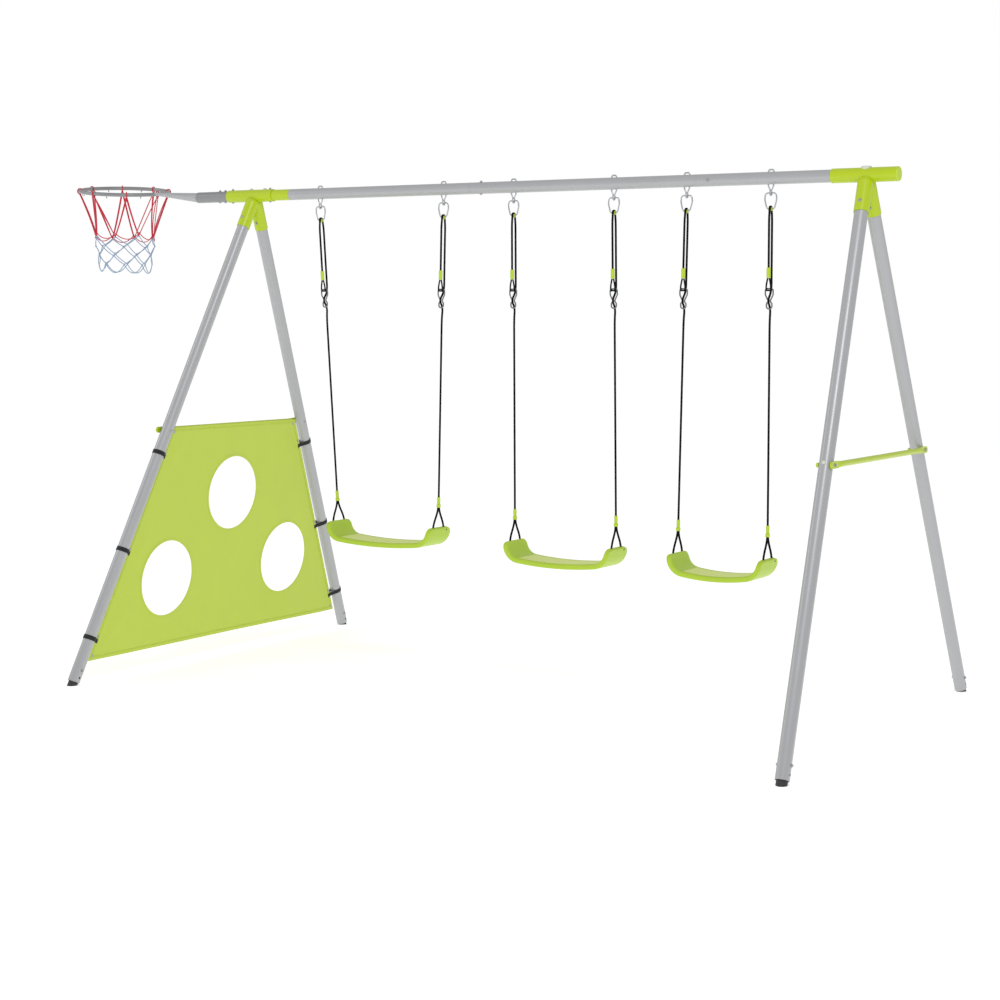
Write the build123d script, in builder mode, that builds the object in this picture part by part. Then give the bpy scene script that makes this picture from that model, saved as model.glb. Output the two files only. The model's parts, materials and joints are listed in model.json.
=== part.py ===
from build123d import *
import os
from math import acos, atan, atan2, cos, degrees, hypot, radians, sin, tan

# Three-seat swing set with a basketball hoop on its left end and a target
# sheet in its left A-frame. Millimetres, +Z up, X along the beam, -Y front.
# The origin is on the ground, under the middle of the whole set.

# ---------------------------------------------------------------- dimensions
# Frame
beam_mid_x = 391.0          # middle of the beam, from the origin
beam_height = 1950.0        # beam axis above the ground
apex_spacing = 2680.0       # between the two A-frames, along the beam
foot_y = 905.0              # half of an A-frame's spread on the ground
splay = {-1: 205.0, 1: 107.0}   # how far each A-frame's feet lean outwards

beam_radius = 22.5
tube_wall = 2.0
spigot_radius = 20.2        # swaged end that slides into the next tube
spigot_length = 90.0
fit_gap = 0.3               # clearance between tubes that slide together

leg_radius = 24.0
leg_start = 70.0            # leg's top end, measured down its axis from the apex
leg_ground_gap = 3.0        # lowest point of the square-cut leg above the ground

sleeve_radius = 25.5
sleeve_start = {-1: -1474.0, 1: 1215.0}   # left end of each sleeve, from the beam's middle
sleeve_length = {-1: 234.0, 1: 240.0}
stub_radius = 27.0
stub_length = 147.0
stub_dome = 34.0            # centre of the stub's domed top, down its axis

adaptor_start = -1345.0
adaptor_end = -1151.0
beam_joints = (-270.0, 700.0)
beam_end = 1436.0

cap_height = 5.0
button_radius = 6.5

# Bolts
bolt_radius = 3.0
bolt_hole = bolt_radius + fit_gap
washer_radius = 6.4
washer_height = 0.8
head_height = 3.0
nut_height = 3.6
stub_bolt_down = 112.0
foot_bolt_up = 50.0
anchor_hole_up = 20.0
anchor_hole_radius = 4.5
sleeve_bolt_x = (-1455.0, -1258.0)
hoop_bolt_x = (-1525.0, -1496.0)
cap_places = ((-1357.0, 7.5), (-1286.0, 7.5), (1340.0, 18.0))   # sleeve caps: x, radius
joint_bolt_x = -227.0
joint_screw_x = 747.0

# Swings: hook positions, seat middles and rope spacings from the beam's middle
hook_x = ((-1000.0, -400.0), (-80.0, 355.0), (655.0, 985.0))
seat_mid = (-665.0, 160.0, 820.0)
rope_spacing = (490.0, 445.0, 360.0)
seat_top = (612.0, 585.0, 585.0)   # height of the rope holes at rest

hanger_wire = 2.8
hanger_half_width = 10.0
eye_radius = 8.8            # centre line of the hanger's eye
eye_drop = 52.0             # eye's centre below the beam axis
eye_play = 0.35             # running clearance between ring and eye
ring_wire = 2.75
ring_half_width = 23.0
ring_height = 55.0          # centre line, top bar to bottom bar
pivot_z = beam_height - eye_drop - eye_radius + hanger_wire + ring_wire + eye_play

rope_radius = 4.0
thimble_radius = 5.4        # bottom of the thimble's groove
thimble_play = 0.7          # room for the ring's curved bar
rope_turn = thimble_radius + rope_radius + 0.2
rope_spread = 13.5          # half the spacing of the rope's two strands
adjuster_side = 6.0         # adjuster's plane, behind the rope's centre line
adjuster_drop = 372.0       # adjuster's middle below the pivot
adjuster_half_height = 36.0
adjuster_half_width = 15.0
adjuster_foot_half = 10.5
adjuster_waist = -10.0
collar_drop = 262.0
collar_length = 36.0
collar_overlap = 26.0       # rope's length inside its collar
eye_rope = 3.0
eye_half = 8.8              # half the spacing of the eye's two strands
eye_gap = 0.6               # eye below the adjuster's top bar
ferrule_length = 26.0
bead_length = 14.0
bead_radius = 8.6
bridle_height = 80.0        # bead to seat
bridle_start = 4.15         # half the spacing of the bridle's legs at the bead
hole_pitch = 80.0
hole_depth = 22.0

seat_depth = 160.0
seat_thickness = 20.0
seat_skin = 6.0
seat_wall = 8.0
pocket_depth = 18.0
seat_sag = 10.0
seat_bend_radius = 60.0
seat_wing_angle = 75.0
seat_wing_height = 79.0     # seat's middle line, bottom to wing top
rope_inset = 3.0            # rope hole inside the wing's top

# Braces
bar_radius = 10.0
bar_height = 985.0
brace_height = 973.0
bar_flat = 7.0
bar_flat_height = 24.0
bar_flat_start = 420.0
bar_end = 470.0
bar_bolt_y = 455.0

# Target sheet
sheet_top = 995.0
sheet_bottom = 85.0
sheet_top_half = 408.0
sheet_bottom_half = 822.0
sheet_shift = {-1: 6.0, 1: -8.0}   # front and back edges moved outwards
sheet_thickness = 1.5
target_radius = 156.0
target_centres = ((6.0, 697.0), (-386.0, 370.0), (397.0, 377.0))
strap_heights = (895.0, 515.0, 178.0)
strap_width = 17.0
strap_thickness = 2.0
strap_tail = 6.0
rivet_from_edge = 9.0
eyelet_inset = 18.0

# Hoop
hoop_centre_x = -2062.0
hoop_height = 1988.0
hoop_tilt = 5.0             # outer end up
hoop_twist = 6.1            # front side down
hoop_radius = 190.0
hoop_wire = 8.0
hoop_tube_start = -1642.0
hoop_tube_end = -1380.0
arm_root_end = -1482.0
arm_width = 56.0
arm_thickness = 13.0
net_radii = (184.0, 138.0, 113.0)
net_heights = (2000.0, 1782.0, 1632.0)
net_thickness = 3.0

LEFT, RIGHT = -1, 1
FRONT, BACK = -1, 1
side_names = {LEFT: "left", RIGHT: "right"}
depth_names = {FRONT: "front", BACK: "back"}

os.makedirs("parts", exist_ok=True)


# ------------------------------------------------------------------- helpers
def beam_point(x, z=0.0):
    """Point at x from the beam's middle and z above its axis."""
    return Vector(beam_mid_x + x, 0, beam_height + z)


def apex(side):
    return beam_point(side * apex_spacing / 2)


def foot(side, depth):
    return Vector(apex(side).X + side * splay[side], depth * foot_y, 0)


def leg_plane(side, depth):
    """Plane across a leg at the apex: its normal runs down the leg."""
    down = (foot(side, depth) - apex(side)).normalized()
    return Plane(origin=apex(side), x_dir=(1, 0, 0), z_dir=down)


def leg_end(side, depth):
    """Length down the leg's axis to its square-cut end."""
    down = leg_plane(side, depth).z_dir
    slant = (1 - down.Z**2) ** 0.5
    return (beam_height - leg_ground_gap - leg_radius * slant) / -down.Z


def local(plane, x, y, z=0):
    """Point at local coordinates on a plane."""
    return plane.from_local_coords(Vector(x, y, z))


def side_plane(side):
    """Plane through both legs: local X is +Y, local Y runs up the slope."""
    ground = Vector(apex(side).X + side * splay[side], 0, 0)
    up = (apex(side) - ground).normalized()
    return Plane(origin=ground, x_dir=(0, 1, 0), z_dir=Vector(0, 1, 0).cross(up))


def slope(side, height):
    """Distance up the side plane for a height above the ground."""
    return height * hypot(beam_height, splay[side]) / beam_height


def leg_y(height):
    """Distance of a leg's axis from the middle at a height."""
    return foot_y * (1 - height / beam_height)


def tube_along(path, radius):
    """Round bar swept along a wire."""
    with BuildPart() as piece:
        with BuildSketch(Plane(origin=path @ 0, z_dir=path % 0)):
            Circle(radius)
        sweep(path=path)
    return piece.part


def rounded_path(plane, points, radii, close=False):
    """Straight runs joined by tangent arcs, drawn on a plane."""
    with BuildLine(plane) as line:
        FilletPolyline(*points, radius=radii, close=close)
    return line.wire()


def bolt(plane, grip):
    """Domed bolt with washer and acorn nut; its head bears on the plane."""
    with BuildPart() as piece:
        with BuildSketch(plane.offset(-washer_height)):
            Circle(washer_radius)
        extrude(amount=washer_height)
        with BuildSketch(plane.offset(-washer_height)):
            Circle(bolt_radius + 1.8)
        extrude(amount=-head_height, taper=30)
        with BuildSketch(plane):
            Circle(bolt_radius)
        extrude(amount=grip)
        with BuildSketch(plane.offset(grip)):
            Circle(washer_radius)
        extrude(amount=washer_height)
        with BuildSketch(plane.offset(grip + washer_height)):
            RegularPolygon(radius=bolt_radius + 2.2, side_count=6)
        extrude(amount=nut_height)
        with BuildSketch(plane.offset(grip + washer_height + nut_height)):
            Circle(bolt_radius + 0.6)
        extrude(amount=2, taper=35)
    return piece.part


def cross_hole(centre, direction, radius, length):
    """Drill through the part in hand, along a direction."""
    with Locations(Plane(origin=centre, z_dir=direction)):
        Cylinder(radius, length, mode=Mode.SUBTRACT)


def drill_beam(positions, radius):
    """Vertical holes through the beam at positions along it."""
    for x in positions:
        cross_hole(beam_point(x), (0, 0, 1), radius, 4 * beam_radius)


def save_group(name, pieces):
    """Write a node of separate, alike solids."""
    group = Compound(label=name, children=pieces)
    export_step(group, f"parts/{name}.step")


hanger_leg_x = [x + s * hanger_half_width for pair in hook_x for x in pair for s in (-1, 1)]


# ---------------------------------------------------------------------- beam
def beam_tube(start, end, spigot):
    """Length of beam tube, with a swaged end on its right if it has a spigot."""
    inner = beam_radius - tube_wall
    with BuildPart() as tube:
        with BuildSketch(Plane.YZ.offset(beam_mid_x + start)):
            with Locations((0, beam_height)):
                Circle(beam_radius)
        extrude(amount=end - start)
        if spigot:
            with BuildSketch(Plane.YZ.offset(beam_mid_x + end)):
                with Locations((0, beam_height)):
                    Circle(spigot_radius)
            extrude(amount=spigot_length)
            with BuildSketch(Plane.YZ.offset(beam_mid_x + end - 12)):
                with Locations((0, beam_height)):
                    Circle(spigot_radius - tube_wall)
            extrude(amount=spigot_length + 12, mode=Mode.SUBTRACT)
        with BuildSketch(Plane.YZ.offset(beam_mid_x + start)):
            with Locations((0, beam_height)):
                Circle(inner)
        extrude(amount=end - start - (12 if spigot else 0), mode=Mode.SUBTRACT)
        drill_beam(hanger_leg_x, hanger_wire + fit_gap)
        drill_beam((*sleeve_bolt_x, joint_bolt_x), bolt_hole)
        cross_hole(beam_point(joint_screw_x), (0, 1, 0), bolt_hole, 4 * beam_radius)
    return tube.part


beam_spans = {
    "left_adaptor": (adaptor_start, adaptor_end, True),
    "beam_left": (adaptor_end + fit_gap, beam_joints[0], True),
    "beam_middle": (beam_joints[0] + fit_gap, beam_joints[1], True),
    "beam_right": (beam_joints[1] + fit_gap, beam_end, False),
}
for name, (start, end, spigot) in beam_spans.items():
    tube = beam_tube(start, end, spigot)
    tube.label = name
    export_step(tube, f"parts/{name}.step")

joint_bolts = [
    bolt(Plane(origin=beam_point(joint_bolt_x, -beam_radius), z_dir=(0, 0, 1)), 2 * beam_radius),
    bolt(
        Plane(origin=beam_point(joint_screw_x) - Vector(0, beam_radius, 0), z_dir=(0, 1, 0)),
        2 * beam_radius,
    ),
]


# -------------------------------------------------------------- tee sleeves
def tee(side):
    """Sleeve for the beam with two stubs for the legs, welded in one."""
    start = beam_mid_x + sleeve_start[side]
    with BuildPart() as joint:
        with BuildSketch(Plane.YZ.offset(start)):
            with Locations((0, beam_height)):
                Circle(sleeve_radius)
        extrude(amount=sleeve_length[side])
        for depth in (FRONT, BACK):
            with BuildSketch(leg_plane(side, depth).offset(stub_dome)):
                Circle(stub_radius)
            extrude(amount=stub_length - stub_dome)
            with Locations(leg_plane(side, depth).offset(stub_dome)):
                Sphere(stub_radius)
        with BuildSketch(Plane.YZ.offset(start)):
            with Locations((0, beam_height)):
                Circle(beam_radius + fit_gap)
        extrude(amount=sleeve_length[side], mode=Mode.SUBTRACT)
        for depth in (FRONT, BACK):
            plane = leg_plane(side, depth)
            with BuildSketch(plane.offset(leg_start - 1)):
                Circle(leg_radius + fit_gap)
            extrude(amount=stub_length, mode=Mode.SUBTRACT)
            centre = plane.origin + plane.z_dir * stub_bolt_down
            cross_hole(centre, plane.y_dir, bolt_hole, 4 * stub_radius)
        drill_beam(sleeve_bolt_x, bolt_hole)
    return joint.part


for side in (LEFT, RIGHT):
    joint = tee(side)
    joint.label = f"tee_{side_names[side]}"
    export_step(joint, f"parts/tee_{side_names[side]}.step")


sleeve_bolts = [
    bolt(Plane(origin=beam_point(x, -sleeve_radius), z_dir=(0, 0, 1)), 2 * sleeve_radius)
    for x in sleeve_bolt_x
]


def sleeve_cap(x, radius):
    """Pale cap that sits on top of a sleeve."""
    middle = beam_point(x).X
    with BuildPart() as cap:
        with BuildSketch(Plane.XY.offset(beam_height + 15)):
            with Locations((middle, 0)):
                Circle(radius)
        extrude(amount=sleeve_radius - 15 + cap_height)
        fillet(cap.edges().sort_by(Axis.Z)[-1], radius=3)
        with BuildSketch(Plane.YZ.offset(middle - 2 * radius)):
            with Locations((0, beam_height)):
                Circle(sleeve_radius + 0.1)
        extrude(amount=4 * radius, mode=Mode.SUBTRACT)
    return cap.part



with BuildPart() as end_cap:
    cap_x = beam_mid_x + sleeve_start[RIGHT] + sleeve_length[RIGHT]
    with BuildSketch(Plane.YZ.offset(cap_x)):
        with Locations((0, beam_height)):
            Circle(sleeve_radius)
    extrude(amount=5, taper=20)
    fillet(end_cap.edges().sort_by(Axis.X)[-1], radius=3)
    with BuildSketch(Plane.YZ.offset(cap_x)):
        with Locations((0, beam_height)):
            Circle(beam_radius)
    extrude(amount=-15)
end_cap.part.label = "end_cap"
export_step(end_cap.part, "parts/end_cap.step")


# ---------------------------------------------------------------------- legs
def leg(side, depth):
    """Straight tube, square cut, drilled for its bolts and a ground anchor."""
    plane = leg_plane(side, depth)
    end = leg_end(side, depth)
    with BuildPart() as tube:
        with BuildSketch(plane.offset(leg_start)):
            Circle(leg_radius)
            Circle(leg_radius - tube_wall, mode=Mode.SUBTRACT)
        extrude(amount=end - leg_start)
        stub_bolt = plane.origin + plane.z_dir * stub_bolt_down
        cross_hole(stub_bolt, plane.y_dir, bolt_hole, 4 * leg_radius)
        foot_bolt = plane.origin + plane.z_dir * (end - foot_bolt_up)
        cross_hole(foot_bolt, plane.x_dir, bolt_hole, 4 * leg_radius)
        anchor = plane.origin + plane.z_dir * (end - anchor_hole_up)
        cross_hole(anchor, plane.x_dir, anchor_hole_radius, 4 * leg_radius)
        height = bar_height if side == LEFT else brace_height
        bar_bolt = local(side_plane(side), depth * leg_y(height), slope(side, height), 0)
        cross_hole(bar_bolt, side_plane(side).z_dir, bolt_hole, 4 * leg_radius)
    return tube.part


def foot_plug(side, depth):
    """Dark plug in the leg's end, cut level with the ground."""
    plane = leg_plane(side, depth)
    end = leg_end(side, depth)
    with BuildPart() as plug:
        with BuildSketch(plane.offset(end - 38)):
            Circle(leg_radius - tube_wall - fit_gap)
        extrude(amount=38)
        with BuildSketch(plane.offset(end)):
            Circle(leg_radius - 5)
        extrude(amount=2 * leg_radius)
        split(bisect_by=Plane.XY, keep=Keep.TOP)
        anchor = plane.origin + plane.z_dir * (end - anchor_hole_up)
        cross_hole(anchor, plane.x_dir, anchor_hole_radius, 4 * leg_radius)
    return plug.part


stub_bolts = []
foot_bolts = []
for side in (LEFT, RIGHT):
    for depth in (FRONT, BACK):
        place = f"{depth_names[depth]}_{side_names[side]}"
        tube = leg(side, depth)
        tube.label = f"leg_{place}"
        export_step(tube, f"parts/leg_{place}.step")
        plug = foot_plug(side, depth)
        plug.label = f"foot_{place}"
        export_step(plug, f"parts/foot_{place}.step")
        plane = leg_plane(side, depth)
        outward = plane.y_dir * (depth if plane.y_dir.Y > 0 else -depth)
        centre = plane.origin + plane.z_dir * stub_bolt_down
        stub_bolts.append(bolt(Plane(origin=centre + outward * stub_radius, z_dir=-outward), 2 * stub_radius))
        centre = plane.origin + plane.z_dir * (leg_end(side, depth) - foot_bolt_up)
        foot_bolts.append(bolt(Plane(origin=centre - plane.x_dir * leg_radius, z_dir=plane.x_dir), 2 * leg_radius))
save_group("stub_bolts", stub_bolts)
save_group("foot_bolts", foot_bolts)


# -------------------------------------------------------- brace and spreader
def cross_bar(side, height):
    """Tube across the outside of an A-frame, with flattened, bolted ends."""
    out = side * (leg_radius + fit_gap + bar_flat / 2)
    plane = side_plane(side)
    centre = local(plane, 0, slope(side, height), out)
    along = Plane(origin=centre, x_dir=plane.y_dir, z_dir=(0, 1, 0))
    flat_end = bar_end - bar_flat_start
    with BuildPart() as bar:
        with BuildSketch(along.offset(-bar_flat_start + 30)):
            Circle(bar_radius)
        extrude(amount=2 * bar_flat_start - 60)
        for depth in (FRONT, BACK):
            root = along.offset(depth * (bar_flat_start - 30))
            with BuildSketch(root):
                Circle(bar_radius)
            with BuildSketch(along.offset(depth * bar_flat_start)):
                RectangleRounded(bar_flat_height, bar_flat, bar_flat / 2 - 0.2)
            loft()
            face = Plane(origin=along.origin, x_dir=(0, 1, 0), z_dir=plane.z_dir).offset(-bar_flat / 2)
            with BuildSketch(face):
                with Locations((depth * (bar_flat_start + flat_end / 2), 0)):
                    Rectangle(flat_end, bar_flat_height)
                with Locations((depth * bar_end, 0)):
                    Circle(bar_flat_height / 2)
            extrude(amount=bar_flat)
            hole = along.origin + Vector(0, depth * leg_y(height), 0)
            cross_hole(hole, plane.z_dir, bolt_hole, 4 * bar_flat)
    return bar.part


bar_bolts = []
for side, height, name in ((LEFT, bar_height, "left_spreader_bar"), (RIGHT, brace_height, "right_brace")):
    bar = cross_bar(side, height)
    bar.label = name
    export_step(bar, f"parts/{name}.step")
    plane = side_plane(side)
    grip = 2 * leg_radius + fit_gap + bar_flat
    for depth in (FRONT, BACK):
        head = local(plane, depth * leg_y(height), slope(side, height), -side * leg_radius)
        bar_bolts.append(bolt(Plane(origin=head, z_dir=plane.z_dir * side), grip))
save_group("bar_bolts", bar_bolts)


def brace_cap(depth):
    """Green domed cap over a brace bolt's head, on the inner face of a right leg."""
    plane = side_plane(RIGHT)
    foot_of_cap = local(plane, depth * leg_y(brace_height), slope(RIGHT, brace_height), -leg_radius - 0.1)
    outward = Plane(origin=foot_of_cap, z_dir=-plane.z_dir)
    with BuildPart() as cap:
        with BuildSketch(outward):
            Circle(washer_radius + 2)
        extrude(amount=10)
        fillet(cap.edges().filter_by(GeomType.CIRCLE).sort_by(Axis.X)[0], radius=4)
        with BuildSketch(outward.offset(-1)):
            Circle(washer_radius + 0.3)
        extrude(amount=6, mode=Mode.SUBTRACT)
    return cap.part


save_group("brace_caps", [brace_cap(depth) for depth in (FRONT, BACK)])

def leg_button():
    """Pale button on the front of the right front leg, level with the brace."""
    plane = leg_plane(RIGHT, FRONT)
    down = (beam_height - brace_height) / -plane.z_dir.Z
    centre = plane.origin + plane.z_dir * down
    outward = -plane.y_dir if plane.y_dir.Y > 0 else plane.y_dir
    with BuildPart() as button:
        with BuildSketch(Plane(origin=centre, z_dir=outward)):
            Circle(button_radius)
        extrude(amount=leg_radius + 2.5)
        fillet(button.edges().filter_by(GeomType.CIRCLE).sort_by(Axis.Y)[0], radius=1.5)
        with BuildSketch(plane.offset(down - 20)):
            Circle(leg_radius + 0.1)
        extrude(amount=40, mode=Mode.SUBTRACT)
    return button.part


save_group("pale_caps", [sleeve_cap(*place) for place in cap_places] + [leg_button()])


# -------------------------------------------------------------- target sheet
def sheet_edge(depth, height):
    """Sheet's edge on one side at a height."""
    share = (height - sheet_bottom) / (sheet_top - sheet_bottom)
    return depth * (sheet_bottom_half + share * (sheet_top_half - sheet_bottom_half) + sheet_shift[depth])


sheet_plane = side_plane(LEFT)
rivet_points = [
    (sheet_edge(depth, z) - depth * rivet_from_edge, slope(LEFT, z)) for depth in (FRONT, BACK) for z in strap_heights
]
eyelet_points = [
    (sheet_edge(depth, z) - depth * eyelet_inset, slope(LEFT, z))
    for depth in (FRONT, BACK)
    for z in (sheet_bottom + eyelet_inset, sheet_top - eyelet_inset)
]
sheet_outline = [
    (sheet_edge(depth, z), slope(LEFT, z))
    for depth, z in ((FRONT, sheet_bottom), (BACK, sheet_bottom), (BACK, sheet_top), (FRONT, sheet_top))
]
with BuildPart() as goal_sheet:
    with BuildSketch(sheet_plane.offset(-sheet_thickness / 2)):
        with BuildLine():
            Polyline(*sheet_outline, close=True)
        make_face()
        with Locations(*[(y, slope(LEFT, z)) for y, z in target_centres]):
            Circle(target_radius, mode=Mode.SUBTRACT)
        with Locations(*rivet_points):
            Circle(3.3, mode=Mode.SUBTRACT)
        with Locations(*eyelet_points):
            Circle(4.3, mode=Mode.SUBTRACT)
    extrude(amount=sheet_thickness)
goal_sheet.part.label = "goal_sheet"
export_step(goal_sheet.part, "parts/goal_sheet.step")


def ring_rivet(point, bore, shank, rim, thickness):
    """Flanged tube through the sheet at a point."""
    half = thickness / 2
    with BuildPart() as piece:
        with BuildSketch(sheet_plane.offset(-half)):
            with Locations(point):
                Circle(shank)
        extrude(amount=thickness)
        for offset in (-half - 1.2, half):
            with BuildSketch(sheet_plane.offset(offset)):
                with Locations(point):
                    Circle(rim)
            extrude(amount=1.2)
        with BuildSketch(sheet_plane.offset(-half - 2)):
            with Locations(point):
                Circle(bore)
        extrude(amount=thickness + 4, mode=Mode.SUBTRACT)
    return piece.part


save_group("sheet_eyelets", [ring_rivet(p, 3.0, 4.1, 7, sheet_thickness + 0.1) for p in eyelet_points])
strap_stack = sheet_thickness + 2 * strap_thickness + 0.4
save_group("strap_rivets", [ring_rivet(p, 1.0, 3.1, 5, strap_stack) for p in rivet_points])


def strap(depth, height):
    """Band around a leg, its two ends riveted to the sheet's two faces."""
    plane = leg_plane(LEFT, depth)
    inward = (0, -depth, 0)
    down = (beam_height - height) / -plane.z_dir.Z
    centre = plane.origin + plane.z_dir * down
    lie = Plane(origin=centre, x_dir=inward, z_dir=plane.z_dir)
    around = leg_radius + fit_gap + strap_thickness / 2
    face = (sheet_thickness + strap_thickness) / 2 + 0.1
    lean = cos(atan(foot_y / beam_height))
    inset = (leg_y(height) - abs(sheet_edge(depth, height))) * lean
    edge = max(inset, around + 2)
    reach = hypot(edge, face)
    turn = degrees(atan2(face, edge) + acos(around / reach))
    touch = (around * cos(radians(turn)), around * sin(radians(turn)))
    tail = max(inset, around + 2) + rivet_from_edge + strap_tail
    with BuildPart() as band:
        with BuildSketch(lie.offset(-strap_width / 2)):
            with BuildLine() as route:
                Polyline((tail, face), (edge, face), touch)
                ThreePointArc(touch, (-around, 0), (touch[0], -touch[1]))
                Polyline((touch[0], -touch[1]), (edge, -face), (tail, -face))
            trace(lines=route.edges(), line_width=strap_thickness)
        extrude(amount=strap_width)
        hole = local(sheet_plane, sheet_edge(depth, height) - depth * rivet_from_edge, slope(LEFT, height), 0)
        cross_hole(hole, sheet_plane.z_dir, 3.3, 60)
    return band.part


for depth in (FRONT, BACK):
    save_group(f"straps_{depth_names[depth]}", [strap(depth, z) for z in strap_heights])


# ---------------------------------------------------------------------- hoop
with BuildPart() as hoop_tube:
    with BuildSketch(Plane.YZ.offset(beam_mid_x + hoop_tube_start)):
        with Locations((0, beam_height)):
            Circle(beam_radius)
            Circle(beam_radius - tube_wall, mode=Mode.SUBTRACT)
    extrude(amount=hoop_tube_end - hoop_tube_start)
    drill_beam((*hoop_bolt_x, sleeve_bolt_x[0]), bolt_hole)
hoop_tube.part.label = "hoop_tube"
export_step(hoop_tube.part, "parts/hoop_tube.step")

hoop_plane = Plane(
    origin=(beam_mid_x + hoop_centre_x, 0, hoop_height),
    x_dir=(cos(radians(hoop_tilt)), 0, -sin(radians(hoop_tilt))),
    z_dir=(tan(radians(hoop_tilt)), -tan(radians(hoop_twist)), 1),
)
with BuildPart() as hoop_ring:
    with Locations(hoop_plane):
        Torus(hoop_radius, hoop_wire)
hoop_ring.part.label = "hoop_ring"
export_step(hoop_ring.part, "parts/hoop_ring.step")

with BuildPart() as hoop_arm:
    neck_x = hoop_tube_start - 4
    with BuildSketch(Plane.YZ.offset(beam_mid_x + neck_x)):
        with Locations((0, beam_height)):
            Circle(spigot_radius)
    extrude(amount=arm_root_end - neck_x)
    with BuildSketch(Plane.YZ.offset(beam_mid_x + neck_x)):
        with Locations((0, beam_height)):
            Circle(spigot_radius)
    near_side = hoop_height - hoop_radius * sin(radians(hoop_tilt))
    with BuildSketch(Plane.YZ.offset(beam_mid_x + hoop_centre_x + hoop_radius - 4)):
        with Locations((0, near_side)):
            RectangleRounded(arm_width, arm_thickness, arm_thickness / 2 - 0.3)
    loft()
    with Locations(hoop_plane):
        Torus(hoop_radius, hoop_wire + 0.05, mode=Mode.SUBTRACT)
        Cylinder(hoop_radius, 60, mode=Mode.SUBTRACT)
    drill_beam(hoop_bolt_x, bolt_hole)
hoop_arm.part.label = "hoop_arm"
export_step(hoop_arm.part, "parts/hoop_arm.step")

hoop_bolts = [
    bolt(Plane(origin=beam_point(x, -beam_radius), z_dir=(0, 0, 1)), 2 * beam_radius) for x in hoop_bolt_x
]
save_group("beam_bolts", joint_bolts + sleeve_bolts + hoop_bolts)

with BuildPart() as hoop_net:
    net_axis = Plane(origin=(beam_mid_x + hoop_centre_x, 0, 0), x_dir=(1, 0, 0), z_dir=(0, -1, 0))
    with BuildSketch(net_axis):
        with BuildLine():
            Polyline(
                *zip(net_radii, net_heights),
                *[(r - net_thickness, z) for r, z in reversed(list(zip(net_radii, net_heights)))],
                close=True,
            )
        make_face()
    revolve(axis=Axis((beam_mid_x + hoop_centre_x, 0, 0), (0, 0, 1)))
    split(bisect_by=hoop_plane.offset(-hoop_wire - 1), keep=Keep.BOTTOM)
hoop_net.part.label = "hoop_net"
export_step(hoop_net.part, "parts/hoop_net.step")


# ------------------------------------------------------------------- hangers
def hanger(x):
    """Wire through the beam, closing below it into an eye for the ring."""
    eye = beam_point(x, -eye_drop)
    top = beam_radius + 7.5
    plane = Plane(origin=beam_point(x), x_dir=(1, 0, 0), z_dir=(0, -1, 0))
    half = hanger_half_width
    close = hanger_wire + 0.1
    low = -eye_drop + eye_radius + 1
    bend = -beam_radius - 5
    points = ((-close, low), (-half, bend), (-half, top), (half, top), (half, bend), (close, low))
    staple = tube_along(rounded_path(plane, points, 6), hanger_wire)
    with BuildPart() as piece:
        add(staple)
        with Locations(Plane(origin=eye, x_dir=(0, 1, 0), z_dir=(1, 0, 0))):
            Torus(eye_radius, hanger_wire)
    return piece.part


save_group("hangers", [hanger(x) for pair in hook_x for x in pair])


# -------------------------------------------------------------------- swings
def rope_plane(swing, end):
    """Plane of one rope: origin at the pivot, local X is +Y, local Y is up."""
    pivot = Vector(beam_mid_x + hook_x[swing][(end + 1) // 2], 0, pivot_z)
    seat_x = beam_mid_x + seat_mid[swing] + end * rope_spacing[swing] / 2
    up = (pivot - Vector(seat_x, 0, seat_top[swing])).normalized()
    return Plane(origin=pivot, x_dir=(0, 1, 0), z_dir=Vector(0, 1, 0).cross(up))


def rope_length(swing, end):
    """Distance from the pivot to the seat's rope holes."""
    pivot = rope_plane(swing, end).origin
    seat_x = beam_mid_x + seat_mid[swing] + end * rope_spacing[swing] / 2
    return (pivot - Vector(seat_x, 0, seat_top[swing])).length


def across(plane, drop=0.0, side=0.0):
    """Plane of a flat fitting that faces front, hung on a rope's plane."""
    origin = local(plane, side, -drop, 0)
    return Plane(origin=origin, x_dir=plane.z_dir, z_dir=(0, -1, 0))


def ring(plane):
    """Pear-shaped ring whose top bar dips into the hanger's eye."""
    w = ring_half_width
    half = [(w - 3, 5), (w, -20), (w - 9, -ring_height)]
    points = [(0, 0), *half, *[(-x, y) for x, y in reversed(half)]]
    path = rounded_path(across(plane), points, [10, 11, 30, 13, 13, 30, 11], close=True)
    return tube_along(path, ring_wire)


def thimble(plane):
    """Grooved plastic saddle over the ring's bottom bar, under the rope."""
    centre = local(plane, 0, -ring_height, 0)
    with BuildPart() as piece:
        with BuildSketch(Plane(origin=centre, x_dir=plane.x_dir, z_dir=plane.z_dir).offset(-6)):
            Circle(thimble_radius + 2.5)
            Circle(ring_wire + thimble_play, mode=Mode.SUBTRACT)
            with Locations((0, -thimble_radius - 6)):
                Rectangle(60, 2 * thimble_radius, mode=Mode.SUBTRACT)
        extrude(amount=12)
        with Locations(Plane(origin=centre, x_dir=plane.x_dir, z_dir=plane.z_dir)):
            Torus(rope_turn, rope_radius + 0.15, mode=Mode.SUBTRACT)
    return piece.part


def adjuster(plane):
    """Steel wire bent to an eight, wide above its waist, which grips the rope."""
    w = adjuster_half_width
    foot_w = adjuster_foot_half
    h = adjuster_half_height
    waist = (ring_wire + 0.25, adjuster_waist)
    half = [waist, (w, 14), (w, h)]
    low = [(foot_w, -h), (foot_w, adjuster_waist - 7)]
    points = half + [(-x, y) for x, y in reversed(half)] + [(-x, y) for x, y in reversed(low)] + low
    radii = [8, 12, 8, 8, 12, 8, 6, 9, 9, 6]
    path = rounded_path(across(plane, adjuster_drop, -adjuster_side), points, radii, close=True)
    return tube_along(path, ring_wire)


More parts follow.
